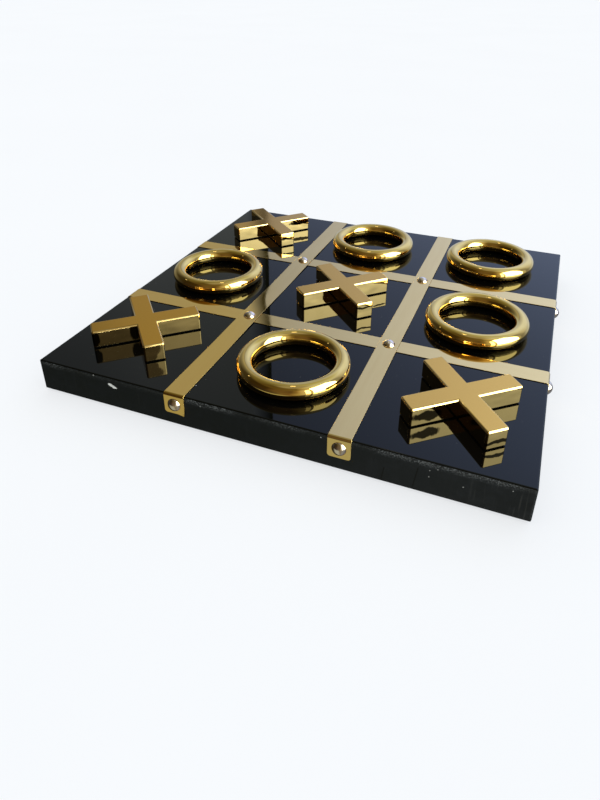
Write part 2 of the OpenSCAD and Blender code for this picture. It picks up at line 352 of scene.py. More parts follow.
# Effects that several finishes share
def build_haze_group():
    """Fine smears and finger haze: a roughness between a low and a high value."""
    group, start, end = new_group(
        "haze",
        [("Vector", "NodeSocketVector", None), ("Size", "NodeSocketFloat", 30.0),
         ("Low", "NodeSocketFloat", 0.02), ("High", "NodeSocketFloat", 0.1)],
        [("Roughness", "NodeSocketFloat"), ("Mask", "NodeSocketFloat")])
    given = start.outputs
    broad = noise(group, given["Vector"], given["Size"], detail=4, roughness=0.6, distortion=0.6)
    mask = mapped(group, broad, 0.42, 0.72, smooth=True)
    fill(group, end, {"Roughness": mapped(group, mask, 0.0, 1.0, given["Low"], given["High"]), "Mask": mask})
    return group


def build_brush_group():
    """Fine parallel brush lines that run along X of the coordinates: a height and a tone mask."""
    group, start, end = new_group(
        "brush_lines",
        [("Vector", "NodeSocketVector", None), ("Fineness", "NodeSocketFloat", 2600.0)],
        [("Height", "NodeSocketFloat"), ("Tone", "NodeSocketFloat")])
    given = start.outputs
    fine = noise(group, stretched(group, given["Vector"], (0.02, 1.0, 1.0)), given["Fineness"], detail=2)
    broad = noise(group, stretched(group, given["Vector"], (0.08, 1.0, 1.0)), scale=260)
    fill(group, end, {"Height": fine, "Tone": blended_number(group, 0.5, fine, broad)})
    return group


def build_speck_group():
    """Small scattered specks, such as dust and nicks: a mask that is one inside a speck."""
    group, start, end = new_group(
        "specks",
        [("Vector", "NodeSocketVector", None), ("Density", "NodeSocketFloat", 250.0),
         ("Radius", "NodeSocketFloat", 0.12), ("Share", "NodeSocketFloat", 0.2)],
        [("Mask", "NodeSocketFloat")])
    given = start.outputs
    cells = node(group, "ShaderNodeTexVoronoi", {"Vector": given["Vector"], "Scale": given["Density"]})
    near = math_node(group, "LESS_THAN", cells.outputs["Distance"], given["Radius"])
    split = node(group, "ShaderNodeSeparateColor", {"Color": cells.outputs["Color"]})
    chosen = math_node(group, "LESS_THAN", split.outputs["Red"], given["Share"])
    fill(group, end, {"Mask": product(group, near, chosen)})
    return group


# Marks of the painted sides
def on_front(across, down):
    """A place on the front side, from its distance along it and its height from the upper face."""
    return (across, -half_side, top_z + down)


def spot(tree, vector, middle, radius, stretch=(1, 1, 1)):
    """A mask that is one in a small spot round a place. Noise of up to a radius eats into its rim, so the
    rim starts out at more than a radius."""
    full_reach = 1.3 * radius
    shift = vector_math(tree, "SUBTRACT", vector, middle)
    distance = length_of(tree, vector_math(tree, "MULTIPLY", shift, stretch))
    eaten = product(tree, noise(tree, vector, scale=900, detail=2), radius)
    return math_node(tree, "LESS_THAN", math_node(tree, "ADD", distance, eaten), full_reach)


def slanted_line(tree, split, upper, lower):
    """A soft mask along a thin line on the front side, from separated coordinates."""
    lean = (upper[0] - lower[0]) / (upper[1] - lower[1])
    across = math_node(tree, "SUBTRACT", split["X"], lower[0])
    up = math_node(tree, "SUBTRACT", split["Z"], top_z + lower[1])
    off_line = math_node(tree, "ABSOLUTE", math_node(tree, "SUBTRACT", across, product(tree, up, lean)))
    line = mapped(tree, off_line, GRAIN_LINE_SOLID, GRAIN_LINE_FADED, GRAIN_LINE_STRENGTH, 0.0)
    over_low_end = math_node(tree, "GREATER_THAN", up, 0.0)
    under_high_end = math_node(tree, "LESS_THAN", up, upper[1] - lower[1])
    in_front = math_node(tree, "LESS_THAN", split["Y"], NEAR - half_side)
    return product(tree, line, over_low_end, under_high_end, in_front)


def edge_wear(tree, place, split):
    """Mask of the grey crumbs in a band below the upper edge, thickest over a few stretches of the front."""
    below_top = math_node(tree, "SUBTRACT", split["Z"], top_z)
    rising = mapped(tree, below_top, WEAR_STARTS, WEAR_FULL, smooth=True)
    ending = mapped(tree, below_top, WEAR_THINS, WEAR_ENDS, 1.0, 0.0)
    patches = mapped(tree, noise(tree, place, scale=26, detail=2), 0.52, 0.66, 0.15, 0.6, smooth=True)
    for first, last in WORN_STRETCHES:
        fade_in = mapped(tree, split["X"], first - WORN_FADE, first + WORN_FADE, smooth=True)
        fade_out = mapped(tree, split["X"], last - WORN_FADE, last + WORN_FADE, 1.0, 0.0, smooth=True)
        patches = math_node(tree, "MAXIMUM", patches, product(tree, fade_in, fade_out))
    crumbs = mapped(tree, noise(tree, place, scale=1500, roughness=0.7), 0.50, 0.62)
    return product(tree, rising, ending, patches, crumbs, WEAR_STRENGTH)


def chip_mask(tree, place):
    """Mask of the paint chip on the front."""
    chip = 0.0
    for across, down in CHIP_LOBES:
        lobe = spot(tree, place, on_front(across, down), CHIP_RADIUS, CHIP_STRETCH)
        chip = math_node(tree, "MAXIMUM", lobe, chip)
    return chip


def build_worn_paint_group():
    """Satin black paint over wood: crumbly grey wear below the upper edge, grain, specks and one chip."""
    group, start, end = new_group(
        "worn_paint", [("Vector", "NodeSocketVector", None)],
        [("Color", "NodeSocketColor"), ("Roughness", "NodeSocketFloat"), ("Height", "NodeSocketFloat")])
    place = start.outputs["Vector"]
    split = parts_of(group, place)
    grain = noise(group, stretched(group, place, (1.0, 1.0, 0.06)), scale=700, detail=4, roughness=0.6)
    mottle = noise(group, place, scale=160, detail=5, roughness=0.65)
    tone = mapped(group, mottle, 0.35, 0.7, smooth=True)
    left_paint = blended(group, tone, *PAINT_AT_LEFT)
    right_paint = blended(group, tone, *PAINT_AT_RIGHT)
    paint = blended(group, mapped(group, split["X"], 0.0, PAINT_PALE_FROM), left_paint, right_paint)

    # Pale grain shows where the paint is thin, most at the right end
    thin = mapped(group, split["X"], GRAIN_SHOWS_FROM, GRAIN_SHOWS_MOST, 0.05, 0.5)
    paint = blended(group, product(group, mapped(group, grain, 0.58, 0.72), thin), paint, THIN_PAINT)
    for upper, lower in GRAIN_LINES:
        paint = blended(group, slanted_line(group, split, upper, lower), paint, GRAIN_LINE_BLACK)
    paint = blended(group, edge_wear(group, place, split), paint, WORN_GREY)
    for across, down, radius in FRONT_SPECKS:
        paint = blended(group, spot(group, place, on_front(across, down), radius), paint, SPECK_GREY)
    chip = chip_mask(group, place)
    paint = blended(group, chip, paint, CHIP_WHITE)

    texture = blended_number(group, 0.6, mottle, grain)
    fill(group, end, {
        "Color": paint,
        "Roughness": mapped(group, mottle, 0.3, 0.7, 0.42, 0.62),
        "Height": math_node(group, "SUBTRACT", texture, product(group, chip, 0.8))})
    return group


HAZE = build_haze_group()
BRUSH_LINES = build_brush_group()
SPECKS = build_speck_group()
WORN_PAINT = build_worn_paint_group()


# Finishes
def gloss_panel_finish():
    """Mirror gloss black, dusty on top; past its rounded upper edge the sides are painted and worn as the
    core is."""
    material, tree, shader, place = new_material("gloss_black")
    haze = use_group(tree, HAZE, {"Vector": place, "Size": 22.0, "Low": 0.012, "High": 0.03})
    dust = use_group(tree, SPECKS, {"Vector": place, "Density": 420.0, "Radius": 0.07, "Share": 0.035})
    gloss = blended(tree, dust["Mask"], PANEL_BLACK, DUST_GREY)
    dust_grain = spot(tree, place, (*DUST_GRAIN, top_z), DUST_GRAIN_RADIUS)
    gloss = blended(tree, dust_grain, gloss, DUST_GRAIN_GREY)
    below_top = math_node(tree, "SUBTRACT", parts_of(tree, place)["Z"], top_z)
    on_side = mapped(tree, below_top, GLOSS_ENDS, GLOSS_FADES, 1.0, 0.0)
    paint = use_group(tree, WORN_PAINT, {"Vector": place})
    fill(tree, shader, {
        "Base Color": blended(tree, on_side, gloss, paint["Color"]),
        "Roughness": blended_number(tree, on_side, haze["Roughness"], paint["Roughness"]),
        "Normal": bumped(tree, noise(tree, place, scale=18, detail=2), strength=0.02, distance=1 * MM),
        "IOR": 1.37})
    return material


def core_finish():
    """The worn paint, with its grain raised a little."""
    material, tree, shader, place = new_material("core_paint")
    paint = use_group(tree, WORN_PAINT, {"Vector": place})
    fill(tree, shader, {
        "Base Color": paint["Color"],
        "Roughness": paint["Roughness"],
        "Normal": bumped(tree, paint["Height"], strength=0.35, distance=0.25 * MM),
        "Specular IOR Level": 0.18})
    return material


# The mask of the painted light gradient across the strips and the crosses' upper faces
def toward_back_right(tree, place, low, high):
    """Rises from 0 to 1 from the front left of the board to its right and back."""
    split = parts_of(tree, place)
    return mapped(tree, math_node(tree, "ADD", split["X"], product(tree, split["Y"], 0.6)), low, high)


def strip_finish(name, turn):
    """Champagne brass, brushed very finely along the strip, a little warmer at the front left as a painted
    light
    gradient, with a painted shadow line: its upright sides on the panel are near-black."""
    material, tree, shader, board_place = new_material(name)
    place = stretched(tree, board_place, (1, 1, 1), turn)
    facing = stretched(tree, surface(tree, "Normal"), (1, 1, 1), turn)
    sideways = math_node(tree, "ABSOLUTE", parts_of(tree, facing)["Y"])
    on_panel = math_node(tree, "GREATER_THAN", parts_of(tree, place)["Z"], top_z)
    # Painted shadow: the upright sides where the strip lies on the panel turn near-black
    painted_shadow_edge = product(tree, mapped(tree, sideways, 0.75, 0.95, smooth=True), on_panel)
    rounded_edge = mapped(tree, sideways, 0.15, 0.3, 0.0, 0.45)
    lines = use_group(tree, BRUSH_LINES, {"Vector": place, "Fineness": 2400.0})
    haze = use_group(tree, HAZE, {"Vector": place, "Size": 45.0, "Low": 0.035, "High": 0.06})
    tone = mapped(tree, lines["Tone"], 0.38, 0.62)
    warm = blended(tree, tone, *STRIP_WARM)
    pale = blended(tree, tone, *STRIP_PALE)
    # Painted light: the brass turns paler towards the back right of the board
    brass = blended(tree, toward_back_right(tree, board_place, *STRIP_PAINTED_LIGHT_SPAN), warm, pale)
    fill(tree, shader, {
        "Base Color": blended(tree, painted_shadow_edge, brass, STRIP_PAINTED_SHADOW_EDGE),
        "Roughness": math_node(tree, "MAXIMUM", haze["Roughness"], rounded_edge),
        "Normal": bumped(tree, lines["Height"], strength=0.012, distance=0.02 * MM),
        "Metallic": 1.0})
    return material


def with_dark_reflections(tree, place, strokes, sides, polished):
    """The polished colour with the painted dark reflections of each cross, feathered patches on its sides."""
    sway = product(tree, noise(tree, place, scale=160, detail=1), DARK_REFLECTION_SWAY)
    lift = math_node(tree, "SUBTRACT", sway, DARK_REFLECTION_SWAY / 2)
    wavy = vector_math(tree, "ADD", place, node(tree, "ShaderNodeCombineXYZ", {"Z": lift}).outputs["Vector"])
    feather = product(tree, strokes, 0.5)
    for name, dark_reflections in PAINTED_DARK_REFLECTIONS.items():
        middle = middle_of(name)
        shift = vector_math(tree, "SUBTRACT", wavy, (middle.x, middle.y, top_z))
        local = stretched(tree, shift, (1, 1, 1), -CROSS_TURNS[name])
        for right, back, up, half_length, half_height in dark_reflections:
            offset = vector_math(tree, "SUBTRACT", local, (right, back, up))
            shrink = (1 / half_length, 1 / DARK_REFLECTION_DEPTH, 1 / half_height)
            distance = length_of(tree, vector_math(tree, "MULTIPLY", offset, shrink))
            dark_reflection = mapped(tree, math_node(tree, "ADD", distance, feather), *DARK_REFLECTION_RIM, DARK_REFLECTION_STRENGTH, 0.0)
            polished = blended(tree, product(tree, dark_reflection, sides), polished, DARK_REFLECTION_BROWN)
    return polished


def cross_finish():
    """Satin gold on the upward faces; polished, slightly wavy and paler gold on the sides, with painted dark
    reflections.
    """
    material, tree, shader, place = new_material("cross_metal")
    upward = parts_of(tree, surface(tree, "Normal"))["Z"]
    flat = mapped(tree, upward, 0.93, 0.998, smooth=True)
    sides = mapped(tree, upward, 0.05, 0.3, 1.0, 0.0)
    haze = use_group(tree, HAZE, {"Vector": place, "Size": 60.0, "Low": 0.02, "High": 0.07})
    rub = noise(tree, stretched(tree, place, (1.0, 1.0, 0.2)), scale=1400)
    swell = noise(tree, stretched(tree, place, (0.7, 0.7, 1.3)), scale=75, detail=1)
    strokes = noise(tree, stretched(tree, place, (1.0, 1.0, 0.25)), scale=800, detail=2)
    tone = mapped(tree, rub, 0.35, 0.65)
    warm = blended(tree, tone, *SATIN_WARM)
    pale = blended(tree, tone, *SATIN_PALE)
    # Painted light: the satin tops turn paler towards the back right of the board
    satin = blended(tree, toward_back_right(tree, place, *SATIN_PAINTED_LIGHT_SPAN), warm, pale)
    # Painted reflection: dark feathered patches on the polished sides
    polished = with_dark_reflections(tree, place, strokes, sides, blended(tree, haze["Mask"], *CROSS_SIDES))
    wave = math_node(tree, "ADD", swell, product(tree, strokes, 0.012))
    fill(tree, shader, {
        "Base Color": blended(tree, flat, polished, satin),
        "Roughness": blended_number(tree, flat, haze["Roughness"], mapped(tree, rub, 0.3, 0.7, 0.08, 0.12)),
        "Normal": bumped(tree, product(tree, wave, sides), strength=0.5, distance=0.9 * MM),
        "Metallic": 1.0})
    return material


def ring_finish():
    """Polished gold with the faintest haze."""
    material, tree, shader, place = new_material("ring_metal")
    haze = use_group(tree, HAZE, {"Vector": place, "Size": 70.0, "Low": 0.006, "High": 0.014})
    fill(tree, shader, {
        "Base Color": blended(tree, haze["Mask"], *RING_GOLD),
        "Roughness": haze["Roughness"],
        "Normal": bumped(tree, noise(tree, place, scale=90, detail=1), strength=0.015, distance=0.2 * MM),
        "Metallic": 1.0})
    return material


def nail_finish():
    """Nickel with small dents from the hammer."""
    material, tree, shader, place = new_material("nail_metal")
    haze = use_group(tree, HAZE, {"Vector": place, "Size": 260.0, "Low": 0.14, "High": 0.22})
    fill(tree, shader, {
        "Base Color": blended(tree, haze["Mask"], *NAIL_NICKEL),
        "Roughness": haze["Roughness"],
        "Normal": bumped(tree, noise(tree, place, scale=420, detail=2), strength=0.3, distance=0.25 * MM),
        "Metallic": 1.0})
    return material


def felt_finish():
    """Black felt: short fibres that gather in clumps."""
    material, tree, shader, place = new_material("felt")
    fibres = noise(tree, place, scale=1800, detail=5, roughness=0.8)
    nap = blended_number(tree, 0.6, noise(tree, place, scale=300), fibres)
    fill(tree, shader, {
        "Base Color": blended(tree, mapped(tree, nap, 0.35, 0.7), *FELT_BLACK),
        "Roughness": mapped(tree, fibres, 0.3, 0.7, 0.85, 1.0),
        "Normal": bumped(tree, nap, strength=0.8, distance=0.3 * MM),
        "Sheen Weight": 0.3})
    return material


FINISHES = {
    "gloss_black": gloss_panel_finish(),
    "core_paint": core_finish(),
    "strip_across": strip_finish("strip_metal_across", 0),
    "strip_along": strip_finish("strip_metal_along", 90),
    "cross_metal": cross_finish(),
    "ring_metal": ring_finish(),
    "nail_metal": nail_finish(),
    "felt": felt_finish(),
}


def dress(piece, finish):
    """Puts a finish on a piece in place of what it has."""
    piece.data.materials.clear()
    piece.data.materials.append(FINISHES[finish])


# Helpers for modelling
def select_none():
    bpy.ops.object.select_all(action="DESELECT")


def new_piece(name):
    """Names the object that an operator has just added."""
    piece = bpy.context.object
    piece.name = name
    piece.data.name = name
    return piece


def select_where(piece, kind, test):
    """Selects, in edit mode, the verts, edges or faces that pass a test of their place and direction: a
    normal, or for an edge the way from one end to the other."""
    bpy.ops.mesh.select_all(action="DESELECT")
    bpy.ops.mesh.select_mode(type={"verts": "VERT", "edges": "EDGE", "faces": "FACE"}[kind])
    bpy.ops.object.mode_set(mode="OBJECT")
    mesh = piece.data
    if kind == "verts":
        found = [(part, part.co, part.normal) for part in mesh.vertices]
    elif kind == "faces":
        found = [(part, part.center, part.normal) for part in mesh.polygons]
    else:
        ends = [(part, *(mesh.vertices[index].co for index in part.vertices)) for part in mesh.edges]
        found = [(part, (first + last) / 2, (last - first).normalized()) for part, first, last in ends]
    for part, place, direction in found:
        part.select = test(place, direction)
    bpy.ops.object.mode_set(mode="EDIT")


def extrude_along(points, extrude):
    """Draws what is selected along a chain of (across, up) points, by an operator that extrudes it."""
    for before, after in zip(points, points[1:]):
        step = (after[0] - before[0], 0, after[1] - before[1])
        extrude(TRANSFORM_OT_translate={"value": step})


def apply_modifier(piece, name, kind, **settings):
    modifier = piece.modifiers.new(name, kind)
    for label, value in settings.items():
        setattr(modifier, label, value)
    bpy.context.view_layer.objects.active = piece
    bpy.ops.object.modifier_apply(modifier=name)


def settle(piece, place, turn=(0, 0, 0)):
    """Moves a piece that was modelled at the origin to its place, and leaves its object at the origin."""
    select_none()
    piece.select_set(True)
    bpy.context.view_layer.objects.active = piece
    piece.location = place
    piece.rotation_euler = [math.radians(angle) for angle in turn]
    bpy.ops.object.transform_apply(location=True, rotation=True, scale=True)


def hang_on(piece, body, finish, slot, *nodes):
    """Gives a piece its finish, makes it move with a body, and stands it in for nodes of the part."""
    dress(piece, finish)
    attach(piece, body)
    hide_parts(*nodes)


def loose_body(name):
    """The body that a loose piece is, such as front_left_cross for the node cross_front_left."""
    kind, square = name.split("_", 1)
    return square + "_" + kind


def turned(name, profile, steps):
    """A body of revolution about Z, spun from a chain of (radius, height) points."""
    select_none()
    bpy.ops.mesh.primitive_plane_add(size=MM)
    piece = new_piece(name)
    bpy.ops.object.mode_set(mode="EDIT")
    bpy.ops.mesh.select_mode(type="VERT")
    bpy.ops.mesh.select_all(action="SELECT")
    bpy.ops.mesh.merge(type="CENTER")
    bpy.ops.transform.translate(value=(profile[0][0], 0, profile[0][1]))
    extrude_along(profile, bpy.ops.mesh.extrude_vertices_move)
    bpy.ops.mesh.select_all(action="SELECT")
    bpy.ops.mesh.spin(steps=steps, angle=math.tau, center=(0, 0, 0), axis=(0, 0, 1))
    bpy.ops.mesh.select_all(action="SELECT")
    bpy.ops.mesh.remove_doubles(threshold=SAME_POINT)
    bpy.ops.mesh.normals_make_consistent(inside=False)
    bpy.ops.object.mode_set(mode="OBJECT")
    return piece


# Crosses
def make_cross(name, turn):
    """A cross: a block whose four sides are drawn out along X and Y into arms, turned as it lies."""
    low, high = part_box(name)
    height = high.z - low.z
    select_none()
    bpy.ops.mesh.primitive_cube_add(size=1, scale=(CROSS_BAR, CROSS_BAR, height))
    piece = new_piece(name + "_polished")
    bpy.ops.object.transform_apply(location=False, rotation=False, scale=True)
    bpy.ops.object.mode_set(mode="EDIT")
    arm = (CROSS_SPAN - CROSS_BAR) / 2
    for way in (Vector((1, 0, 0)), Vector((0, 1, 0)), Vector((-1, 0, 0)), Vector((0, -1, 0))):
        side_middle = way * CROSS_BAR / 2
        select_where(piece, "faces", lambda place, normal: (place - side_middle).length < NEAR)
        bpy.ops.mesh.extrude_region_move(TRANSFORM_OT_translate={"value": way * arm})
    bpy.ops.mesh.select_all(action="SELECT")
    bpy.ops.mesh.dissolve_limited(angle_limit=math.radians(5))

    # The tips' upright corners, then the upper edges all round, then the lower ones
    select_where(piece, "edges", lambda place, way: abs(way.z) > UPRIGHT and place.length > CROSS_BAR)
    bpy.ops.mesh.bevel(offset=CROSS_TIP_ROUND, segments=5, affect="EDGES")
    select_where(piece, "edges", lambda place, way: place.z > height / 2 - ON_PLANE)
    bpy.ops.mesh.bevel(offset=CROSS_TOP_ROUND, segments=6, affect="EDGES")
    select_where(piece, "edges", lambda place, way: place.z < ON_PLANE - height / 2)
    bpy.ops.mesh.bevel(offset=CROSS_FOOT_ROUND, segments=3, affect="EDGES")
    bpy.ops.object.mode_set(mode="OBJECT")
    bpy.ops.object.shade_smooth_by_angle(angle=math.radians(50))
    apply_modifier(piece, "flat_faces", "WEIGHTED_NORMAL", keep_sharp=True)
    settle(piece, (low + high) / 2, (0, 0, turn))
    hang_on(piece, loose_body(name), "cross_metal", "cross_metal", name)


def add_crosses():
    for name, turn in CROSS_TURNS.items():
        make_cross(name, turn)


# Rings
def make_ring(name):
    """A ring: the outline of a round bar, flat underneath, spun about Z."""
    low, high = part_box(name)
    middle_radius = (high.x - low.x - RING_BAR) / 2
    bar_radius = RING_BAR / 2
    profile = []
    for index in range(RING_BAR_SIDES + 1):
        angle = math.tau * index / RING_BAR_SIDES - math.pi / 2
        up = bar_radius - RING_FLAT + bar_radius * math.sin(angle)
        profile.append((middle_radius + bar_radius * math.cos(angle), max(0, up)))
    piece = turned(name + "_polished", profile, RING_STEPS)
    bpy.ops.object.shade_smooth_by_angle(angle=math.radians(30))
    settle(piece, ((low.x + high.x) / 2, (low.y + high.y) / 2, low.z))
    hang_on(piece, loose_body(name), "ring_metal", "ring_metal", name)


def add_rings():
    for name in RING_NODES:
        make_ring(name)


# Nails
def nail_profile():
    """Outline of a nail from the top of its dome down to its point, with the underside of its head at 0."""
    rise = NAIL_HEAD_HEIGHT - NAIL_RIM
    head_radius = NAIL_HEAD / 2
    dome_radius = (head_radius ** 2 + rise ** 2) / (2 * rise)
    reach = math.asin(head_radius / dome_radius)
    points = []
    for index in range(DOME_STEPS + 1):
        angle = reach * index / DOME_STEPS
        points.append((dome_radius * math.sin(angle), NAIL_HEAD_HEIGHT - dome_radius * (1 - math.cos(angle))))
    shank_radius = NAIL_SHANK / 2
    points += [(head_radius, NAIL_EDGE), (head_radius - NAIL_EDGE, 0), (shank_radius, 0),
               (shank_radius, NAIL_POINT - NAIL_LENGTH), (0, -NAIL_LENGTH)]
    return points


def add_nail(pattern, name, place, turn):
    """A copy of the nail pattern, with a mesh of its own, at its place on the board."""
    piece = pattern.copy()
    piece.data = pattern.data.copy()
    bpy.context.scene.collection.objects.link(piece)
    piece.name = name + "_head"
    settle(piece, place, turn)
    hang_on(piece, "board", "nail_metal", "nail_metal", name)


def add_nails():
    """Nails stand on the upper strips where the strips cross, and on the folded ends all round."""
    pattern = turned("nail_pattern", nail_profile(), NAIL_STEPS)
    bpy.ops.object.shade_smooth_by_angle(angle=math.radians(35))
    for name in CROSSING_NAILS:
        middle = middle_of(name)
        add_nail(pattern, name, (middle.x, middle.y, top_z + 2 * strip_thickness), (0, 0, 0))
    for side, names in SIDE_NAILS.items():
        turn = SIDE_TURNS[side]
        outward = Vector((math.cos(math.radians(turn)), math.sin(math.radians(turn)), 0))
        for name in names:
            middle = middle_of(name)
            place = middle + outward * (half_side + strip_thickness - middle.dot(outward))
            add_nail(pattern, name, place, (0, 90, turn))
    bpy.data.objects.remove(pattern)


# Strips
def strip_path(crossed):
    """Points (along, up) of a strip's underside, from the foot of one folded end to the foot of the other,
    with a rise over each lower strip that it crosses."""
    bend = []
    for index in range(BEND_STEPS + 1):
        angle = math.pi / 2 * index / BEND_STEPS
        bend.append((half_side - BEND_RADIUS * (1 - math.cos(angle)), -BEND_RADIUS * (1 - math.sin(angle))))
    points = [(-half_side, -tab_drop)] + [(-along, up) for along, up in bend]
    step_half = strip_width / 2 + CROSSING_CLEARANCE
    for middle in sorted(crossed):
        for side in (-1, 1):
            for index in range(RAMP_STEPS + 1):
                share = index / RAMP_STEPS
                if side == 1:
                    share = 1 - share
                rise = strip_thickness * (1 - math.cos(math.pi * share)) / 2
                points.append((middle + side * (step_half + RAMP_RUN * (1 - share)), rise))
    return points + list(reversed(bend)) + [(half_side, -tab_drop)]


def crease_corner(piece, middle):
    """Bends the right lower corner of a strip's front end outwards, along a slanted line."""
    low, high = (Vector((-half_side, middle - across, up)) for across, up in (CREASE_LOW, CREASE_HIGH))
    beyond = Vector((1, 0, 0)).cross(high - low).normalized()
    if beyond.z > 0:
        beyond.negate()
    select_where(piece, "faces", lambda place, normal: place.x < ON_PLANE - half_side)
    bpy.ops.mesh.bisect(plane_co=low, plane_no=beyond)
    bpy.ops.mesh.mark_sharp()
    select_where(piece, "verts", lambda place, normal: place.x < ON_PLANE - half_side
                 and (place - low).dot(beyond) > NEAR)
    bpy.ops.transform.translate(value=(-CREASE_LIFT, 0, 0))


def face_upwards(piece):
    """Turns an open sheet over if its longest face looks down."""
    longest = max(piece.data.polygons, key=lambda face: face.area)
    if longest.normal.z < 0:
        bpy.ops.object.mode_set(mode="EDIT")
        bpy.ops.mesh.flip_normals()
        bpy.ops.object.mode_set(mode="OBJECT")


def strip_sheet(name, path, creased):
    """A strip along X without its thickness: an edge drawn along the path, its four corners rounded but
    for a creased one."""
    select_none()
    bpy.ops.mesh.primitive_plane_add(size=strip_width)
    piece = new_piece(name + "_folded")
    bpy.ops.object.mode_set(mode="EDIT")
    select_where(piece, "verts", lambda place, normal: place.x > 0)
    bpy.ops.mesh.delete(type="VERT")
    bpy.ops.mesh.select_all(action="SELECT")
    bpy.ops.transform.translate(value=(path[0][0] + strip_width / 2, 0, path[0][1]))
    extrude_along(path, bpy.ops.mesh.extrude_region_move)
    select_where(piece, "verts", lambda place, normal: place.z < -tab_drop + NEAR
                 and not (creased and place.x < 0 and place.y < 0))
    bpy.ops.mesh.bevel(offset=TAB_CORNER, segments=6, affect="VERTICES")
    return piece


def make_strip(name, crossed, finish):
    """One folded strip, with its thickness and its broken edges, that crosses over strips at some places."""
    creased = name == "strip_left"
    middle = middle_of(name)
    piece = strip_sheet(name, strip_path(crossed), creased)
    if creased:
        crease_corner(piece, middle.x)
    bpy.ops.mesh.select_all(action="SELECT")
    bpy.ops.mesh.normals_make_consistent(inside=False)
    bpy.ops.object.mode_set(mode="OBJECT")
    face_upwards(piece)
    apply_modifier(piece, "thickness", "SOLIDIFY", thickness=strip_thickness, offset=1, use_even_offset=True)
    apply_modifier(piece, "rounding", "BEVEL", width=STRIP_EDGE, segments=3, limit_method="ANGLE",
                   angle_limit=math.radians(60))
    bpy.ops.object.shade_smooth()
    apply_modifier(piece, "flat_faces", "WEIGHTED_NORMAL", keep_sharp=True)
    if finish == "strip_along":
        settle(piece, (middle.x, 0, top_z), (0, 0, 90))
    else:
        settle(piece, (0, middle.y, top_z))
    hang_on(piece, "board", finish, "strip_metal", name)


def add_strips():
    """Two strips that run left to right, and two over them that run front to back."""
    lower_places = [middle_of("strip_front").y, middle_of("strip_back").y]
    for name in ("strip_left", "strip_right"):
        make_strip(name, lower_places, "strip_along")
    for name in ("strip_front", "strip_back"):
        make_strip(name, [], "strip_across")


def dress_packed_parts():
    """Finishes for the parts whose shape stays as it was packed."""
    dress(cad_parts["gloss_top"], "gloss_black")
    dress(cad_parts["wood_core"], "core_paint")
    for name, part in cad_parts.items():
        if name.startswith(("foot_", "pad_")):
            dress(part, "felt")


# Floor, lights and camera
def add_camera():
    lens = bpy.data.cameras.new("camera")
    lens.sensor_fit = "VERTICAL"
    lens.sensor_height = SENSOR_HEIGHT
    lens.lens = CAMERA_LENS
    lens.shift_x = CAMERA_SHIFT[0]
    lens.shift_y = CAMERA_SHIFT[1]
    lens.clip_start = NEAREST_SEEN
    lens.dof.use_dof = False
    camera = bpy.data.objects.new("camera", lens)
    camera.location = CAMERA_PLACE
    camera.rotation_euler = [math.radians(angle) for angle in CAMERA_TURN]
    bpy.context.scene.collection.objects.link(camera)
    bpy.context.scene.camera = camera


def add_floor():
    """A pale floor that glows a little, so that the board's shadow on it stays faint, and that the
    polished parts don't mirror."""
    select_none()
    bpy.ops.mesh.primitive_plane_add(size=FLOOR_SIDE)
    floor = new_piece("floor")
    material, tree, shader, place = new_material("pale_floor")
    tone = noise(tree, place, scale=3, detail=2)
    fill(tree, shader, {
        "Base Color": blended(tree, tone, *FLOOR_GREY),
        "Emission Color": blended(tree, tone, *FLOOR_GLOW),
        "Emission Strength": 0.73,
        "Roughness": 0.9,
        "Specular IOR Level": 0.0})
    material.cycles.emission_sampling = "NONE"
    floor.data.materials.append(material)
    floor.visible_glossy = False


def add_area_light(name, place, aim, size, radiance, colour, lights_floor=False):
    """A soft light panel; it either lights the matt surfaces or shows in the polished ones."""
    light = bpy.data.lights.new(name, "AREA")
    light.shape = "RECTANGLE"
    light.size = size[0]
    light.size_y = size[1]
    light.energy = radiance * math.pi * size[0] * size[1]
    light.color = colour
    lamp = bpy.data.objects.new(name, light)
    lamp.location = place
    way = Vector(aim) - Vector(place)
    lamp.rotation_euler = way.to_track_quat("-Z", "Y").to_euler()
    lamp.visible_camera = False
    lamp.visible_glossy = not lights_floor
    lamp.visible_diffuse = lights_floor
    bpy.context.scene.collection.objects.link(lamp)


def add_lights():
    """An even light from above for the matt surfaces, and a window and two lamps that only the polished
    ones show."""
    add_area_light("overhead_softbox", place=(0, 0, 6), aim=(0, 0, 0), size=(FLOOR_SIDE, FLOOR_SIDE),
                   radiance=0.76, colour=(0.98, 0.99, 1.0), lights_floor=True)
    add_area_light("window_wide_pane", place=(1.3, -0.30, 0.89), aim=(0.0, -0.30, 0.89), size=(1.2, 1.92),
                   radiance=12.5, colour=(0.55, 0.62, 0.56))
    add_area_light("window_narrow_pane", place=(1.3, -1.25, 0.65), aim=(0.0, -1.25, 0.65), size=(0.36, 1.6),
                   radiance=3.6, colour=(0.70, 0.75, 0.61))
    add_area_light("ceiling_lamp", place=(-0.22, 0.38, 1.95), aim=(0, 0, 0), size=(0.12, 0.12),
                   radiance=4.0, colour=(1.0, 0.9, 0.7))
    add_area_light("side_lamp", place=(-1.5, -0.03, 1.28), aim=(0, 0, 0), size=(0.09, 0.09),
                   radiance=2.5, colour=(1.0, 0.93, 0.8))


def colour_ramp(tree, value, stops):
    """Colours along a value from 0 to 1, from (place, colour) stops."""
    made = node(tree, "ShaderNodeValToRGB", {"Fac": value})
    ramp = made.color_ramp
    ramp.elements[0].position = stops[0][0]
    ramp.elements[0].color = (*stops[0][1], 1)
    ramp.elements[1].position = stops[-1][0]
    ramp.elements[1].color = (*stops[-1][1], 1)
    for place, colour in stops[1:-1]:
        ramp.elements.new(place).color = (*colour, 1)
    return made.outputs["Color"]


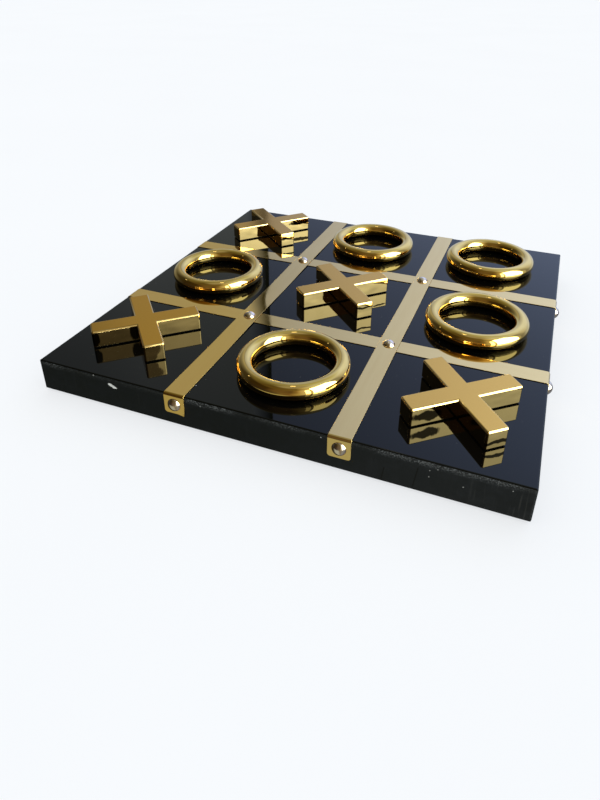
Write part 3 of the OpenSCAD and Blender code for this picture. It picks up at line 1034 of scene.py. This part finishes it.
# The room that the polished parts mirror, in four bands from below the board to high above it: light
# by compass angle, where 0 is behind the board, 90 is to its right and -90 to its left
BELOW_TONES = [
    (-180, (0.40, 0.42, 0.30)), (-138, (0.37, 0.39, 0.29)), (-112, (0.03, 0.025, 0.01)),
    (-40, (0.03, 0.025, 0.01)), (10, (0.12, 0.14, 0.16)),
    (60, (0.20, 0.22, 0.24)), (84, (0.13, 0.14, 0.15)), (125, (0.26, 0.27, 0.23)),
    (160, (0.20, 0.16, 0.08)), (180, (0.40, 0.42, 0.30))]
LOW_TONES = [
    (-180, (0.165, 0.13, 0.065)), (-168, (0.10, 0.08, 0.05)), (-148, (0.04, 0.028, 0.02)),
    (-115, (0.025, 0.02, 0.015)), (-95, (0.05, 0.05, 0.045)), (-75, (0.15, 0.16, 0.15)),
    (-58, (0.24, 0.25, 0.23)), (-44, (0.38, 0.45, 0.53)), (-28, (0.46, 0.57, 0.76)),
    (-5, (0.52, 0.64, 0.92)), (28, (0.60, 0.74, 1.05)), (45, (0.46, 0.56, 0.76)),
    (57, (0.25, 0.28, 0.34)), (66, (0.20, 0.22, 0.25)), (69, (0.45, 0.48, 0.45)),
    (132, (0.68, 0.68, 0.52)), (148, (0.40, 0.36, 0.19)), (165, (0.175, 0.12, 0.06)),
    (180, (0.165, 0.13, 0.065))]
WALL_TONES = [
    (-180, (0.145, 0.105, 0.05)), (-165, (0.13, 0.09, 0.045)), (-148, (0.045, 0.03, 0.01)),
    (-115, (0.03, 0.022, 0.008)), (-95, (0.04, 0.036, 0.022)), (-75, (0.05, 0.045, 0.03)),
    (-58, (0.13, 0.14, 0.135)), (-44, (0.25, 0.27, 0.27)), (-39, (0.35, 0.375, 0.37)),
    (-27.4, (0.37, 0.40, 0.38)), (-25.2, (0.35, 0.42, 0.60)), (-12, (0.51, 0.62, 0.92)),
    (5, (0.73, 0.91, 1.37)), (25, (0.72, 0.90, 1.38)), (45, (0.58, 0.67, 0.88)), (54, (0.44, 0.50, 0.60)),
    (58, (0.30, 0.34, 0.40)), (66, (0.27, 0.31, 0.37)), (69, (0.42, 0.45, 0.44)),
    (130, (0.72, 0.70, 0.56)), (142, (0.54, 0.49, 0.32)), (152, (0.24, 0.185, 0.08)),
    (162, (0.12, 0.085, 0.04)), (180, (0.145, 0.105, 0.05))]
UPPER_TONES = [
    (-180, (0.14, 0.11, 0.04)), (-120, (0.09, 0.07, 0.025)), (-60, (0.17, 0.17, 0.09)),
    (-28, (0.30, 0.32, 0.24)), (5, (0.44, 0.49, 0.38)), (40, (0.55, 0.66, 0.72)),
    (70, (0.62, 0.72, 0.88)), (105, (0.64, 0.68, 0.65)), (128, (0.48, 0.45, 0.28)),
    (150, (0.17, 0.14, 0.06)), (180, (0.14, 0.11, 0.04))]
ZENITH_TONE = (0.32, 0.33, 0.30)

# The heights in degrees between which each band gives way to the next one up
BAND_RISES = [(-15, -9), (6, 20), (39, 53), (68, 82)]

# What the camera itself sees above the floor, where a low view shows it
BACKDROP_TONE = (0.93, 0.96, 0.98)

# A dark strip where the wall behind the board ends: it deepens slowly and stops at once
WALL_END_START = math.radians(-27.4)
WALL_END_DARKEST = math.radians(-25.6)
WALL_END_STOP = math.radians(-25.35)
WALL_END_TONE = (0.035, 0.035, 0.012)


def add_room_light():
    """The room around the board: brown and dim behind the camera and to the left, a pale bluish wall
    behind on the right, a warm ceiling, and the table's own light below the board."""
    world = bpy.data.worlds.new("room")
    world.use_nodes = True
    bpy.context.scene.world = world
    tree = world.node_tree
    direction = parts_of(tree, surface(tree, "Generated"))
    compass = math_node(tree, "ARCTAN2", direction["X"], direction["Y"])
    lift = math_node(tree, "ARCSINE", direction["Z"])
    round_share = mapped(tree, compass, -math.pi, math.pi)
    below, low, wall, upper = (
        colour_ramp(tree, round_share, [(angle / 360 + 0.5, tone) for angle, tone in tones])
        for tones in (BELOW_TONES, LOW_TONES, WALL_TONES, UPPER_TONES))
    deepening = mapped(tree, compass, WALL_END_START, WALL_END_DARKEST)
    before_end = math_node(tree, "LESS_THAN", compass, WALL_END_STOP)
    wall = blended(tree, product(tree, deepening, before_end), wall, WALL_END_TONE)
    colour = below
    for band, (start, full) in zip((low, wall, upper, ZENITH_TONE), BAND_RISES):
        rise = mapped(tree, lift, math.radians(start), math.radians(full), smooth=True)
        colour = blended(tree, rise, colour, band)
    seen = tree.nodes.new("ShaderNodeLightPath").outputs["Is Camera Ray"]
    colour = blended(tree, seen, colour, BACKDROP_TONE)
    fill(tree, tree.nodes["Background"], {"Color": colour, "Strength": 1.0})


add_crosses()
add_rings()
add_nails()
add_strips()
dress_packed_parts()
add_camera()
add_floor()
add_room_light()
add_lights()
bpy.context.scene.view_settings.view_transform = "Standard"
